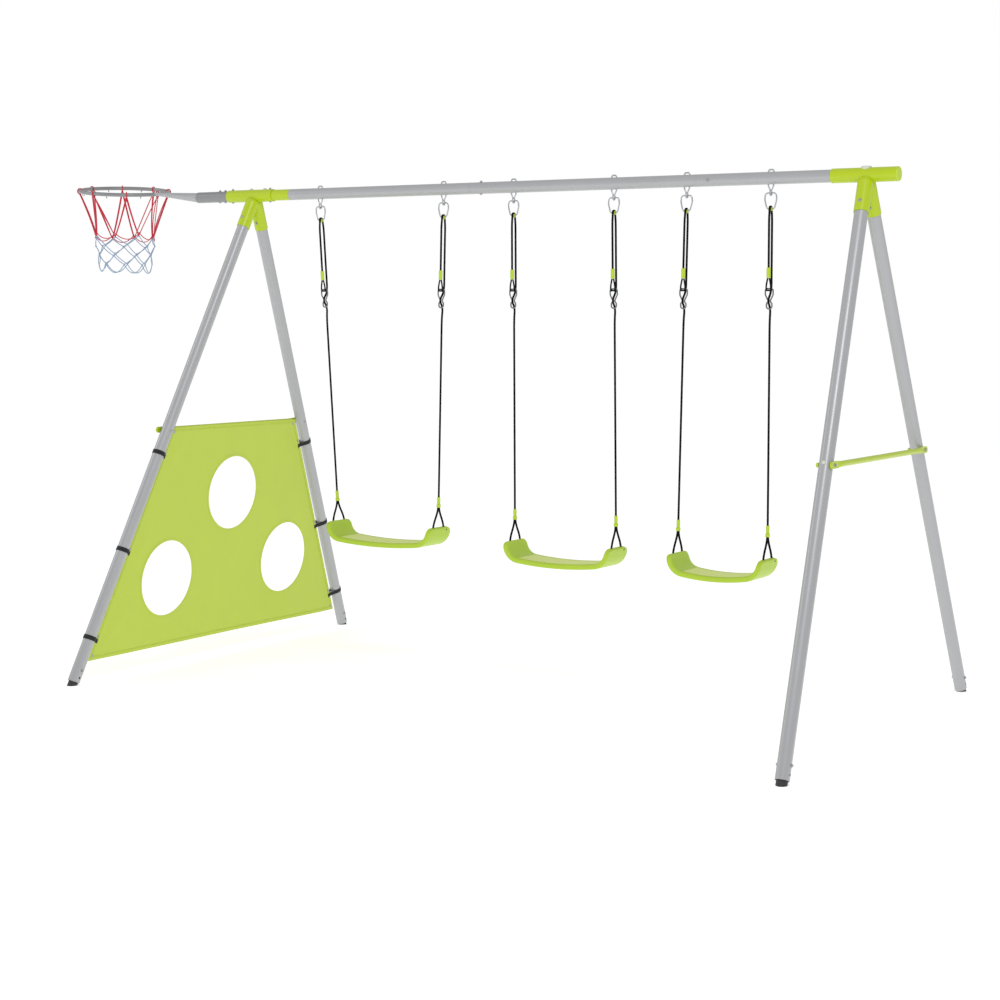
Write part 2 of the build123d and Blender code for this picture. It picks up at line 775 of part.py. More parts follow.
def rope(plane, length):
    """Rope from the lower ferrule, through the adjuster, over the thimble to its collar."""
    ferrule_top = length - bridle_height - bead_length - 2 - ferrule_length
    neck = -ring_height - 4
    points = [
        (0, -ferrule_top - 20),
        (0, -adjuster_drop - 78),
        (3.5, -adjuster_drop - 35),
        (-adjuster_side - 14, -adjuster_drop - 7),
        (rope_spread + 0.5, -adjuster_drop + 26),
        (rope_spread, -adjuster_drop + 90),
        (rope_spread, neck - 28),
        (rope_turn, neck),
        (rope_turn, rope_turn - ring_height),
        (-rope_turn, rope_turn - ring_height),
        (-rope_turn, neck),
        (-rope_spread, neck - 28),
        (-rope_spread, -collar_drop - collar_overlap),
    ]
    turn = rope_turn - 0.05
    radii = [60, 30, 14, 18, 60, 30, 30, turn, turn, 30, 30]
    print("rope arc radii, mm:", radii)
    return tube_along(rounded_path(plane, points, radii), rope_radius)


def rope_eye(plane):
    """Rope's end below its collar, spliced back round the adjuster's top bar."""
    bar = -adjuster_drop + adjuster_half_height
    low = bar - ring_wire - eye_rope - eye_gap
    half = [
        (eye_rope + 0.15, -rope_spread, -collar_drop - collar_length - 0.9),
        (eye_half, -rope_spread, bar + 14),
        (eye_half, -rope_spread, low),
        (eye_half, -adjuster_side, low),
    ]
    corners = half + [(-x, y, z) for x, y, z in reversed(half)]
    points = [plane.origin + plane.z_dir * x + plane.x_dir * y + plane.y_dir * z for x, y, z in corners]
    radii = [25, 3.6, 3.6, 3.6, 3.6, 25]
    print("rope eye arc radii, mm:", radii)
    with BuildLine() as line:
        FilletPolyline(*points, radius=radii)
    return tube_along(line.wire(), eye_rope)


def collar(plane):
    """Green collar where the rope's end is spliced back to itself."""
    start = local(plane, -rope_spread, -collar_drop)
    with BuildPart() as piece:
        with BuildSketch(Plane(origin=start, x_dir=plane.z_dir, z_dir=-plane.y_dir)):
            RectangleRounded(15, 12.4, 5.9)
        extrude(amount=collar_length)
        with BuildSketch(Plane(origin=start, z_dir=-plane.y_dir)):
            Circle(rope_radius + 0.15)
        extrude(amount=collar_overlap + 0.2, mode=Mode.SUBTRACT)
    return piece.part


def ferrule(plane, length):
    """Green ferrule and bead that join the rope to its bridle."""
    top = length - bridle_height - bead_length - 2 - ferrule_length
    start = local(plane, 0, -top, 0)
    down = Plane(origin=start, x_dir=plane.x_dir, z_dir=-plane.y_dir)
    with BuildPart() as piece:
        with BuildSketch(down):
            Circle(rope_radius + 2.5)
        extrude(amount=ferrule_length)
        with BuildSketch(down.offset(ferrule_length)):
            Circle(rope_radius + 1)
        extrude(amount=2)
        with BuildSketch(down.offset(ferrule_length + 2)):
            Circle(bead_radius)
        extrude(amount=bead_length)
        rims = piece.edges().filter_by(GeomType.CIRCLE).group_by(SortBy.RADIUS)[-1]
        fillet(rims, radius=3.4)
        with BuildSketch(down):
            Circle(rope_radius + 0.15)
        extrude(amount=20.2, mode=Mode.SUBTRACT)
    return piece.part


def bridle_leg(plane, length, depth):
    """One leg of the V between the bead and a hole in the seat."""
    bead = bridle_height - length
    points = [
        (depth * bridle_start, bead),
        (depth * bridle_start, bead - 14),
        (depth * hole_pitch / 2, bead - bridle_height + 8),
        (depth * hole_pitch / 2, bead - bridle_height - hole_depth + 4),
    ]
    radii = [30, 20]
    print("bridle arc radii, mm:", radii)
    return tube_along(rounded_path(plane, points, radii), rope_radius)


def seat(swing):
    """Moulded seat: a shallow curve with upturned wings and a skirt below."""
    half = rope_spacing[swing] / 2 + rope_inset
    lead = radians(seat_wing_angle)
    slack = 2 * atan(seat_sag / (half - 60))
    rise = seat_bend_radius * (cos(slack) - cos(lead))
    wing = (seat_wing_height - seat_sag - rise) / sin(lead)
    flat_half = half - wing * cos(lead) - seat_bend_radius * (sin(lead) - sin(slack))
    slack = 2 * atan(seat_sag / flat_half)
    face = Plane(
        origin=(beam_mid_x + seat_mid[swing], seat_depth / 2, seat_top[swing] - seat_wing_height),
        x_dir=(1, 0, 0),
        z_dir=(0, -1, 0),
    )
    with BuildPart() as piece:
        with BuildSketch(face):
            with BuildLine() as line:
                middle = ThreePointArc((-flat_half, seat_sag), (0, 0), (flat_half, seat_sag))
                bend = JernArc(middle @ 1, middle % 1, seat_bend_radius, seat_wing_angle - degrees(slack))
                Line(bend @ 1, bend @ 1 + (bend % 1) * wing)
                other = JernArc(middle @ 0, -(middle % 0), seat_bend_radius, degrees(slack) - seat_wing_angle)
                Line(other @ 1, other @ 1 + (other % 1) * wing)
            trace(lines=line.edges(), line_width=seat_thickness)
        extrude(amount=seat_depth)
        corners = piece.edges().filter_by(lambda e: abs(e.length - seat_thickness) < 0.1)
        fillet(corners.group_by(Axis.Z)[-1], radius=28)
        with BuildSketch(face.offset(seat_wall)):
            with BuildLine() as line:
                pocket = flat_half - 12
                rise = seat_sag * (pocket / flat_half) ** 2
                low = seat_thickness / 2 - seat_skin - pocket_depth / 2
                ThreePointArc((-pocket, rise + low), (0, low), (pocket, rise + low))
            trace(lines=line.edges(), line_width=pocket_depth)
        extrude(amount=seat_depth - 2 * seat_wall, mode=Mode.SUBTRACT)
        for end in (LEFT, RIGHT):
            plane = rope_plane(swing, end)
            for depth in (FRONT, BACK):
                mouth = local(plane, depth * hole_pitch / 2, 12 - rope_length(swing, end), 0)
                with BuildSketch(Plane(origin=mouth, z_dir=-plane.y_dir)):
                    Circle(rope_radius + 0.4)
                extrude(amount=12 + hole_depth, mode=Mode.SUBTRACT)
    return piece.part


for swing, place in enumerate(("left", "middle", "right")):
    ends = [(rope_plane(swing, end), rope_length(swing, end)) for end in (LEFT, RIGHT)]
    body = seat(swing)
    body.label = f"seat_{place}"
    export_step(body, f"parts/seat_{place}.step")
    for (plane, length), end in zip(ends, (LEFT, RIGHT)):
        cord = rope(plane, length)
        cord.label = f"rope_{place}_{side_names[end]}"
        export_step(cord, f"parts/rope_{place}_{side_names[end]}.step")
    eyes = [rope_eye(plane) for plane, _ in ends]
    save_group(f"bridles_{place}", eyes + [bridle_leg(*e, depth) for e in ends for depth in (FRONT, BACK)])
    save_group(f"rings_{place}", [ring(plane) for plane, _ in ends])
    save_group(f"thimbles_{place}", [thimble(plane) for plane, _ in ends])
    save_group(f"adjusters_{place}", [adjuster(plane) for plane, _ in ends])
    save_group(f"collars_{place}", [collar(plane) for plane, _ in ends])
    save_group(f"ferrules_{place}", [ferrule(*e) for e in ends])
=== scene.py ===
import json
import math
import random

import bpy
from mathutils import Matrix, Vector


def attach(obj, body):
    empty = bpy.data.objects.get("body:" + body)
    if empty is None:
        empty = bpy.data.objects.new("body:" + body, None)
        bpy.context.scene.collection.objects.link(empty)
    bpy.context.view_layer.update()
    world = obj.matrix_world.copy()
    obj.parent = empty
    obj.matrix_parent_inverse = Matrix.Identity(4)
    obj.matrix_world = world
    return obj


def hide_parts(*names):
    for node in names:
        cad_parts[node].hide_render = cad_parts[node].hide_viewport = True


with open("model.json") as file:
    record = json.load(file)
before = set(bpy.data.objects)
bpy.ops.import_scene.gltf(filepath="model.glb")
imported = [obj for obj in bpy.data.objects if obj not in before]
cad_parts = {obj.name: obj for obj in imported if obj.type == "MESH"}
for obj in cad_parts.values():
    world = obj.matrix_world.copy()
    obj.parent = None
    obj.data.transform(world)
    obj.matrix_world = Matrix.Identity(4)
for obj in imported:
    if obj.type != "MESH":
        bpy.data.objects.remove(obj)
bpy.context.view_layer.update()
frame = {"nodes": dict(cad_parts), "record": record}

# ---------------------------------------------------------------- dimensions
# Metres, the same driving dimensions as the CAD.
BEAM_MID_X = 0.391
BEAM_Z = 1.95
APEX_X = {-1: BEAM_MID_X - 1.34, 1: BEAM_MID_X + 1.34}
SPLAY = 0.205
FOOT_Y = 0.905
LEG_R = 0.024

HOOK_X = ((-1.0, -0.4), (-0.08, 0.355), (0.655, 0.985))
SEAT_MID = (-0.665, 0.160, 0.820)
SPACING = (0.490, 0.445, 0.360)
SEAT_TOP = (0.612, 0.585, 0.585)
PIVOT_Z = 1.8951
RING_HEIGHT = 0.055
WIRE_R = 0.00275
ROPE_R = 0.004
ROPE_TURN = 0.0096
ROPE_SPREAD = 0.0135
ADJUSTER_DROP = 0.372
ADJUSTER_HALF = 0.036
ADJUSTER_SIDE = 0.006
COLLAR_DROP, COLLAR_LENGTH, COLLAR_OVERLAP = 0.262, 0.036, 0.026
EYE_R, EYE_HALF = 0.003, 0.0088
BRIDLE_HEIGHT = 0.080
BRIDLE_START = 0.00415
HOLE_PITCH = 0.080
FERRULE_STACK = BRIDLE_HEIGHT + 0.014 + 0.002 + 0.026

SHEET_TOP, SHEET_BOTTOM = 0.995, 0.085
SHEET_TOP_HALF, SHEET_BOTTOM_HALF = 0.408, 0.822
SHEET_SHIFT = {-1: 0.006, 1: -0.008}
TARGET_R = 0.156
TARGETS = ((0.006, 0.697), (-0.386, 0.370), (0.397, 0.377))
STRAPS = (0.895, 0.515, 0.178)

HOOP_X = BEAM_MID_X - 2.062
HOOP_Z = 1.988
HOOP_R = 0.190
HOOP_WIRE = 0.008
HOOP_TILT, HOOP_TWIST = math.radians(5.0), math.radians(6.1)

PLACES = ("left", "middle", "right")


def add_object(name, data):
    """Object linked into the scene."""
    o = bpy.data.objects.new(name, data)
    bpy.context.scene.collection.objects.link(o)
    return o


# -------------------------------------------------------------------- camera
CAMERA_AT = (BEAM_MID_X + 3.707, -6.372, 1.448)
YAW, PITCH, ROLL = math.radians(31.07), math.radians(-5.45), math.radians(0.38)
LENS, SENSOR_WIDTH = 68.65, 36
CLIP_END = 200

forward = Vector((
    -math.sin(YAW) * math.cos(PITCH),
    math.cos(YAW) * math.cos(PITCH),
    math.sin(PITCH),
))
right = Vector((math.cos(YAW), math.sin(YAW), 0))
up = right.cross(forward)
rolled_right = right * math.cos(ROLL) + up * math.sin(ROLL)
rolled_up = up * math.cos(ROLL) - right * math.sin(ROLL)
camera = add_object("camera", bpy.data.cameras.new("camera"))
camera.data.lens = LENS
camera.data.sensor_width = SENSOR_WIDTH
camera.data.clip_end = CLIP_END
axes = Matrix((rolled_right, rolled_up, -forward)).transposed().to_4x4()
camera.matrix_world = Matrix.Translation(CAMERA_AT) @ axes
bpy.context.scene.camera = camera


# ----------------------------------------------------------------- materials
COAT_ROUGHNESS = 0.12
PATCH_SCALE = 9
ROUGHNESS_SPREAD = 0.06
GRAIN_DEPTH = 0.0006
WAVE_PERIODS = 3.18  # a wave texture's bands per unit at scale 1


def srgb(r, g, b):
    """Linear colour from an 8-bit display colour."""
    def one(v):
        v /= 255
        return v / 12.92 if v <= 0.04045 else ((v + 0.055) / 1.055) ** 2.4
    return (one(r), one(g), one(b), 1)


def material(name, colour, rough, metal, coat, grain, bump, vary, sheen=0.0, shine=0.5):
    """Surface with fine grain in its relief, and broad patches in its roughness and colour."""
    m = bpy.data.materials.new(name)
    m.use_nodes = True
    tree = m.node_tree
    shader = tree.nodes["Principled BSDF"]
    shader.inputs["Metallic"].default_value = metal
    shader.inputs["Coat Weight"].default_value = coat
    shader.inputs["Coat Roughness"].default_value = COAT_ROUGHNESS
    shader.inputs["Sheen Weight"].default_value = sheen
    shader.inputs["Specular IOR Level"].default_value = shine
    place = tree.nodes.new("ShaderNodeTexCoord")
    fine = tree.nodes.new("ShaderNodeTexNoise")
    fine.inputs["Scale"].default_value = grain
    fine.inputs["Detail"].default_value = 3
    broad = tree.nodes.new("ShaderNodeTexNoise")
    broad.inputs["Scale"].default_value = PATCH_SCALE
    broad.inputs["Detail"].default_value = 4
    tree.links.new(place.outputs["Object"], fine.inputs["Vector"])
    tree.links.new(place.outputs["Object"], broad.inputs["Vector"])
    tint = tree.nodes.new("ShaderNodeMix")
    tint.data_type = "RGBA"
    low = tuple(c * (1 - vary) for c in colour[:3]) + (1,)
    high = tuple(min(1, c * (1 + vary)) for c in colour[:3]) + (1,)
    tint.inputs["A"].default_value = low
    tint.inputs["B"].default_value = high
    tree.links.new(broad.outputs["Fac"], tint.inputs["Factor"])
    tree.links.new(tint.outputs["Result"], shader.inputs["Base Color"])
    gloss = tree.nodes.new("ShaderNodeMapRange")
    gloss.inputs["To Min"].default_value = max(0.02, rough - ROUGHNESS_SPREAD)
    gloss.inputs["To Max"].default_value = rough + ROUGHNESS_SPREAD
    tree.links.new(broad.outputs["Fac"], gloss.inputs["Value"])
    tree.links.new(gloss.outputs["Result"], shader.inputs["Roughness"])
    relief = tree.nodes.new("ShaderNodeBump")
    relief.inputs["Strength"].default_value = bump
    relief.inputs["Distance"].default_value = GRAIN_DEPTH
    tree.links.new(fine.outputs["Fac"], relief.inputs["Height"])
    tree.links.new(relief.outputs["Normal"], shader.inputs["Normal"])
    return m


def woven(m, pitch, depth, strength):
    """Adds a plain weave to a material, along the object's Y and Z."""
    tree = m.node_tree
    place = next(n for n in tree.nodes if n.bl_idname == "ShaderNodeTexCoord")
    relief = next(n for n in tree.nodes if n.bl_idname == "ShaderNodeBump")
    waves = []
    for direction in ("Y", "Z"):
        wave = tree.nodes.new("ShaderNodeTexWave")
        wave.bands_direction = direction
        wave.inputs["Scale"].default_value = 1 / pitch / WAVE_PERIODS
        wave.inputs["Distortion"].default_value = 0.4
        wave.inputs["Detail Scale"].default_value = 2
        tree.links.new(place.outputs["Object"], wave.inputs["Vector"])
        waves.append(wave)
    both = tree.nodes.new("ShaderNodeMath")
    both.operation = "MULTIPLY"
    tree.links.new(waves[0].outputs["Fac"], both.inputs[0])
    tree.links.new(waves[1].outputs["Fac"], both.inputs[1])
    tree.links.new(both.outputs["Value"], relief.inputs["Height"])
    relief.inputs["Distance"].default_value = depth
    relief.inputs["Strength"].default_value = strength
    return m


# Each line: name, colour, roughness, metal, coat, grain scale, relief strength, colour spread
GREY = material("grey_powder_coat", srgb(176, 177, 180), 0.36, 0.25, 0.25, 900, 0.06, 0.03)
DARK_GREY = material("dark_powder_coat", srgb(141, 142, 145), 0.40, 0.25, 0.2, 900, 0.06, 0.04)
LIME_PAINT = material("lime_powder_coat", srgb(184, 207, 4), 0.36, 0.0, 0.2, 900, 0.06, 0.04)
LIME_PLASTIC = material("lime_plastic", srgb(186, 214, 40), 0.38, 0.0, 0.1, 700, 0.05, 0.05)
SEAT_EDGE = material("seat_plastic", srgb(178, 208, 48), 0.42, 0.0, 0.08, 1300, 0.12, 0.04)
# Seat pad: its grain is real, but its paler colour is painted sheen that stands for the sky's
# reflection on the seat's top.
SEAT_PAD_GRAIN_AND_SHEEN = material("seat_pad_grain_and_sheen", srgb(226, 238, 142), 0.62, 0.0, 0.0, 2200, 0.5, 0.03)
PALE = material("pale_plastic", srgb(214, 219, 205), 0.5, 0.0, 0.0, 600, 0.05, 0.03)
BLACK_PLASTIC = material("black_plastic", srgb(48, 48, 50), 0.55, 0.0, 0.0, 800, 0.15, 0.12)
ZINC = material("zinc_wire", srgb(188, 190, 194), 0.28, 0.9, 0.0, 500, 0.08, 0.10)
DARK_ZINC = material("dark_zinc_wire", srgb(128, 130, 134), 0.3, 0.85, 0.0, 500, 0.08, 0.12)
BOLT = material("bolt_steel", srgb(172, 174, 176), 0.34, 0.6, 0.0, 700, 0.10, 0.15)
ROPE = material(
    "black_rope", srgb(13, 13, 14), 0.85, 0.0, 0.0, 1800, 0.35, 0.2, sheen=0.02, shine=0.12)
SHEET = woven(
    material("coated_sheet", srgb(191, 211, 68), 0.48, 0.0, 0.12, 900, 0.2, 0.035),
    pitch=0.0016, depth=0.0004, strength=0.35)
HEM = woven(
    material("sheet_hem", srgb(190, 210, 66), 0.52, 0.0, 0.08, 900, 0.2, 0.05),
    pitch=0.0016, depth=0.0004, strength=0.5)
WEBBING = woven(
    material("black_webbing", srgb(24, 24, 26), 0.75, 0.0, 0.0, 900, 0.4, 0.15, sheen=0.08),
    pitch=0.0022, depth=0.0005, strength=0.8)
RED_TWINE = material(
    "red_twine", srgb(205, 28, 58), 0.7, 0.0, 0.0, 2500, 0.8, 0.12, sheen=0.15)
PALE_TWINE = material(
    "pale_twine", srgb(146, 170, 200), 0.7, 0.0, 0.0, 2500, 0.8, 0.18, sheen=0.15)

SLOT_MATERIALS = {
    "grey_paint": GREY,
    "dark_grey_paint": DARK_GREY,
    "green_paint": LIME_PAINT,
    "green_plastic": LIME_PLASTIC,
    "hoop_paint": DARK_GREY,
    "pale_plastic": PALE,
    "dark_plastic": BLACK_PLASTIC,
    "bolt_steel": BOLT,
    "zinc_steel": ZINC,
    "sheet": SHEET,
    "webbing": WEBBING,
    "net_cord": RED_TWINE,
    "black_rope": ROPE,
    "seat_plastic": SEAT_EDGE,
}
node_slots = {s["node"]: s["material_slot"] for s in frame["record"]["subparts"]}
for name, node in frame["nodes"].items():
    for holder in node.material_slots:
        if name.startswith("adjusters_"):
            holder.material = DARK_ZINC
        else:
            holder.material = SLOT_MATERIALS[node_slots[name]]


# -------------------------------------------------------------- mesh helpers
def piece(name, points, faces, body, materials, picks=None, smooth=True):
    """Mesh object riding on a body."""
    mesh = bpy.data.meshes.new(name)
    mesh.from_pydata([tuple(p) for p in points], [], faces)
    for m in materials:
        mesh.materials.append(m)
    if picks:
        for face, pick in zip(mesh.polygons, picks):
            face.material_index = pick
    for face in mesh.polygons:
        face.use_smooth = smooth
    mesh.update()
    o = add_object(name, mesh)
    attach(o, body)
    return o


def circle(count, shift=0):
    """Evenly spaced angles round a circle."""
    return [math.tau * (k + shift) / count for k in range(count)]


def skin(rings, count, base=0, closed=False):
    """Faces between neighbouring rings, each with this count of points."""
    faces = []
    for i in range(rings if closed else rings - 1):
        here = base + i * count
        there = base + (i + 1) % rings * count
        for k in range(count):
            m = (k + 1) % count
            faces.append((here + k, here + m, there + m, there + k))
    return faces


def caps(rings, count, base=0):
    """Faces that close the first and the last ring."""
    last = base + (rings - 1) * count
    return [tuple(base + k for k in reversed(range(count))), tuple(last + k for k in range(count))]


def rings_along(line, closed=False):
    """Frames that turn as little as they can along a line."""
    count = len(line)
    tangents = []
    for i in range(count):
        a = line[(i - 1) % count] if closed or i else line[0]
        b = line[(i + 1) % count] if closed or i < count - 1 else line[-1]
        tangents.append((b - a).normalized())
    normal = tangents[0].orthogonal().normalized()
    frames = []
    for t in tangents:
        normal = (normal - t * normal.dot(t)).normalized()
        frames.append((normal.copy(), t.cross(normal)))
    return frames


def tube_mesh(lines, radius, sides=8, closed=False, lobes=None):
    """Tubes along several lines, as one list of points and faces."""
    points, faces = [], []
    for line in lines:
        base = len(points)
        along = 0.0
        for i, (p, (n, b)) in enumerate(zip(line, rings_along(line, closed))):
            along += (line[i] - line[i - 1]).length if i else 0.0
            for a in circle(sides):
                r = radius if lobes is None else radius * lobes(a, along)
                points.append(p + (n * math.cos(a) + b * math.sin(a)) * r)
        faces += skin(len(line), sides, base, closed)
        if not closed:
            faces += caps(len(line), sides, base)
    return points, faces


def spline_line(points, step=None):
    """Points read from a smooth NURBS line with these control points."""
    curve = bpy.data.curves.new("route", "CURVE")
    curve.dimensions = "3D"
    curve.resolution_u = 24
    spline = curve.splines.new("NURBS")
    spline.points.add(len(points) - 1)
    for control, p in zip(spline.points, points):
        control.co = (*p, 1)
    spline.order_u = 3
    spline.use_endpoint_u = True
    holder = bpy.data.objects.new("route", curve)
    mesh = bpy.data.meshes.new_from_object(holder)
    line = [v.co.copy() for v in mesh.vertices]
    bpy.data.objects.remove(holder)
    bpy.data.meshes.remove(mesh)
    return evenly(line, step) if step else line


def length_of(line):
    return sum((b - a).length for a, b in zip(line, line[1:]))


def evenly(line, step):
    """The line again, with evenly spaced points."""
    count = max(2, round(length_of(line) / step))
    span = length_of(line) / count
    out, i, done = [line[0].copy()], 0, 0.0
    for k in range(1, count):
        want = k * span
        while done + (line[i + 1] - line[i]).length < want:
            done += (line[i + 1] - line[i]).length
            i += 1
        run = (line[i + 1] - line[i]).length
        out.append(line[i].lerp(line[i + 1], (want - done) / run))
    out.append(line[-1].copy())
    return out


# --------------------------------------------------------------------- ropes
BRAID_PITCH = 0.0066
BRAID_DEPTH = 0.045
ROPE_STEP = 0.0017
ROPE_SIDES = 16


def braid(angle, along):
    """Plaited strands on a rope's surface."""
    return 1 + BRAID_DEPTH * math.sin(4 * angle) * math.cos(math.tau * along / BRAID_PITCH)


def rope_frame(swing, end):
    """A rope's pivot, its direction up and its length to the seat's holes."""
    pivot = Vector((BEAM_MID_X + HOOK_X[swing][(end + 1) // 2], 0, PIVOT_Z))
    seat = Vector((BEAM_MID_X + SEAT_MID[swing] + end * SPACING[swing] / 2, 0, SEAT_TOP[swing]))
    return pivot, (pivot - seat).normalized(), (pivot - seat).length


def rope_piece(name, route, swing, end, node, radius=ROPE_R):
    """Braided rope along a route of (across, side, height) points below its pivot."""
    pivot, upward, _ = rope_frame(swing, end)
    across = Vector((upward.z, 0, -upward.x))
    place = PLACES[swing]
    controls = [pivot + across * x + Vector((0, y, 0)) + upward * z for x, y, z in route]
    line = spline_line(controls, ROPE_STEP)
    points, faces = tube_mesh([line], radius, ROPE_SIDES, lobes=braid)
    o = piece(name, points, faces, f"swing_{place}", [ROPE])
    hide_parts(node)
    return o


for swing, place in enumerate(PLACES):
    for end, side in ((-1, "left"), (1, "right")):
        length = rope_frame(swing, end)[2]
        neck = -RING_HEIGHT - 0.004
        main = [
            (0, 0, FERRULE_STACK - length - 0.020),
            (0, 0, -ADJUSTER_DROP - 0.160),
            (0, 0, -ADJUSTER_DROP - 0.078),
            (0, 0.0065, -ADJUSTER_DROP - 0.035),
            (0, -ADJUSTER_SIDE - 0.014, -ADJUSTER_DROP - 0.007),
            (0, ROPE_SPREAD + 0.0005, -ADJUSTER_DROP + 0.026),
            (0, ROPE_SPREAD, -ADJUSTER_DROP + 0.090),
            (0, ROPE_SPREAD, neck - 0.060),
            (0, ROPE_SPREAD, neck - 0.028),
            (0, ROPE_TURN, neck),
            (0, ROPE_TURN, ROPE_TURN - RING_HEIGHT),
            (0, -ROPE_TURN, ROPE_TURN - RING_HEIGHT),
            (0, -ROPE_TURN, neck),
            (0, -ROPE_SPREAD, neck - 0.028),
            (0, -ROPE_SPREAD, neck - 0.060),
            (0, -ROPE_SPREAD, -COLLAR_DROP - COLLAR_OVERLAP),
        ]
        rope_piece(f"rope_braid_{place}_{side}", main, swing, end, f"rope_{place}_{side}")
        bar = -ADJUSTER_DROP + ADJUSTER_HALF
        low = bar - WIRE_R - EYE_R - 0.0006
        eye = [
            (EYE_R + 0.00015, -ROPE_SPREAD, -COLLAR_DROP - COLLAR_LENGTH - 0.0009),
            (EYE_HALF, -ROPE_SPREAD, bar + 0.014),
            (EYE_HALF, -ROPE_SPREAD, low),
            (EYE_HALF, -ADJUSTER_SIDE, low),
        ]
        eye += [(-x, y, z) for x, y, z in reversed(eye)]
        rope_piece(f"rope_eye_{place}_{side}", eye, swing, end, f"bridles_{place}", EYE_R)
        bead = BRIDLE_HEIGHT - length
        for depth, where in ((-1, "front"), (1, "back")):
            leg = [
                (0, depth * BRIDLE_START, bead),
                (0, depth * BRIDLE_START, bead - 0.014),
                (0, depth * HOLE_PITCH / 2, bead - BRIDLE_HEIGHT + 0.008),
                (0, depth * HOLE_PITCH / 2, bead - BRIDLE_HEIGHT - 0.018),
            ]
            rope_piece(f"bridle_{place}_{side}_{where}", leg, swing, end, f"bridles_{place}")


# --------------------------------------------------------------------- seats
SEAT_HALF_DEPTH = 0.080
SEAT_HALF_THICK = 0.010
BEND_R = 0.060
SAG = 0.010
WING_ANGLE = math.radians(75)
WING_HEIGHT = 0.079
WING_CORNER = 0.028
RIM = 0.009
PAD_HALF_DEPTH = 0.064
PAD_SINK = 0.0009
HOLE_INSET = 0.003  # from a wing's end to its rope holes
END_ROUND = 0.007
UPPER_ROUND, LOWER_ROUND = 0.007, 0.004
RECESS = 0.013
FLAT_STEPS, BEND_STEPS = 22, 14
WING_SHARES = (0.15, 0.3, 0.42, 0.54, 0.65, 0.75, 0.83, 0.9, 0.95, 0.98, 0.995, 1.0)
PAD_COLUMNS = range(2, 9)  # the section's points that lie on the pad
SCREW_STATION = -8
SCREW_Y = 0.045
SCREW_PROFILE = ((0.0036, 0), (0.0036, 0.0006), (0.0028, 0.0016), (0.0014, 0.0021))
SCREW_SIDES = 14


def seat_curve(swing):
    """Half of a seat's middle line as (x, z, angle, distance), then the length of its flat
    part and its whole length."""
    half = SPACING[swing] / 2 + HOLE_INSET
    slack = 2 * math.atan(SAG / (half - BEND_R))
    rise = BEND_R * (math.cos(slack) - math.cos(WING_ANGLE))
    wing = (WING_HEIGHT - SAG - rise) / math.sin(WING_ANGLE)
    flat = half - wing * math.cos(WING_ANGLE) - BEND_R * (math.sin(WING_ANGLE) - math.sin(slack))
    radius = (flat**2 + SAG**2) / (2 * SAG)
    slack = math.asin(flat / radius)
    out = []
    for i in range(FLAT_STEPS + 1):
        a = slack * i / FLAT_STEPS
        out.append((radius * math.sin(a), radius * (1 - math.cos(a)), a, radius * a))
    x0, z0, _, s0 = out[-1]
    for i in range(1, BEND_STEPS + 1):
        a = slack + (WING_ANGLE - slack) * i / BEND_STEPS
        x = x0 + BEND_R * (math.sin(a) - math.sin(slack))
        z = z0 + BEND_R * (math.cos(slack) - math.cos(a))
        out.append((x, z, a, s0 + BEND_R * (a - slack)))
    x1, z1, a, s1 = out[-1]
    for t in WING_SHARES:
        d = wing * t
        out.append((x1 + d * math.cos(a), z1 + d * math.sin(a), a, s1 + d))
    return out, s0, s1 + wing


def smooth_step(a, b, v):
    t = min(1, max(0, (v - a) / (b - a)))
    return t * t * (3 - 2 * t)


def seat_section(half_depth, half_thick, recess, pad):
    """Closed outline across the seat: (depth, thickness) points, top first."""
    upper_r = min(UPPER_ROUND, half_thick * 0.9)
    lower_r = min(LOWER_ROUND, half_thick * 0.5)
    inner = half_depth - upper_r
    out = []
    for s in (-1, -0.985, -0.96, -0.7, -0.4, -0.13, 0.13, 0.4, 0.7, 0.96, 0.985, 1):
        y = s * min(PAD_HALF_DEPTH + 0.0015, inner * 0.96) / 0.97
        y = min(inner * 0.995, max(-inner * 0.995, y))
        out.append((y, half_thick - pad * (abs(s) < 0.97)))
    side = []
    for k in range(1, 6):
        a = math.pi / 2 * (1 - k / 5)
        side.append((inner + upper_r * math.cos(a), half_thick - upper_r + upper_r * math.sin(a)))
    for k in range(5):
        a = -math.pi / 2 * k / 4
        y = half_depth - lower_r + lower_r * math.cos(a)
        side.append((y, -half_thick + lower_r + lower_r * math.sin(a)))
    wall = half_depth - RIM
    side.append((wall, -half_thick))
    side.append((wall - 0.002, -half_thick + recess * 0.5))
    side.append((wall - 0.004, -half_thick + recess))
    under = [(s * (wall - 0.004), -half_thick + recess) for s in (0.6, 0.2, -0.2, -0.6)]
    return out + side + under + [(-y, z) for y, z in reversed(side)]


def seat_screws(swing, half, centre):
    """A screw in each wing's outer face."""
    points, faces = [], []
    for end in (-1, 1):
        x, z, a, _ = half[SCREW_STATION]
        out = Vector((end * math.sin(a), 0, -math.cos(a)))
        at = centre + Vector((end * x, SCREW_Y, z)) + out * (SEAT_HALF_THICK - 0.0004)
        side = Vector((0, 1, 0))
        other = out.cross(side)
        base = len(points)
        for r, h in SCREW_PROFILE:
            for t in circle(SCREW_SIDES):
                points.append(at + (side * math.cos(t) + other * math.sin(t)) * r + out * h)
        faces += skin(len(SCREW_PROFILE), SCREW_SIDES, base)
        faces.append(caps(len(SCREW_PROFILE), SCREW_SIDES, base)[1])
    place = PLACES[swing]
    piece(f"seat_screws_{place}", points, faces, f"swing_{place}", [BLACK_PLASTIC])


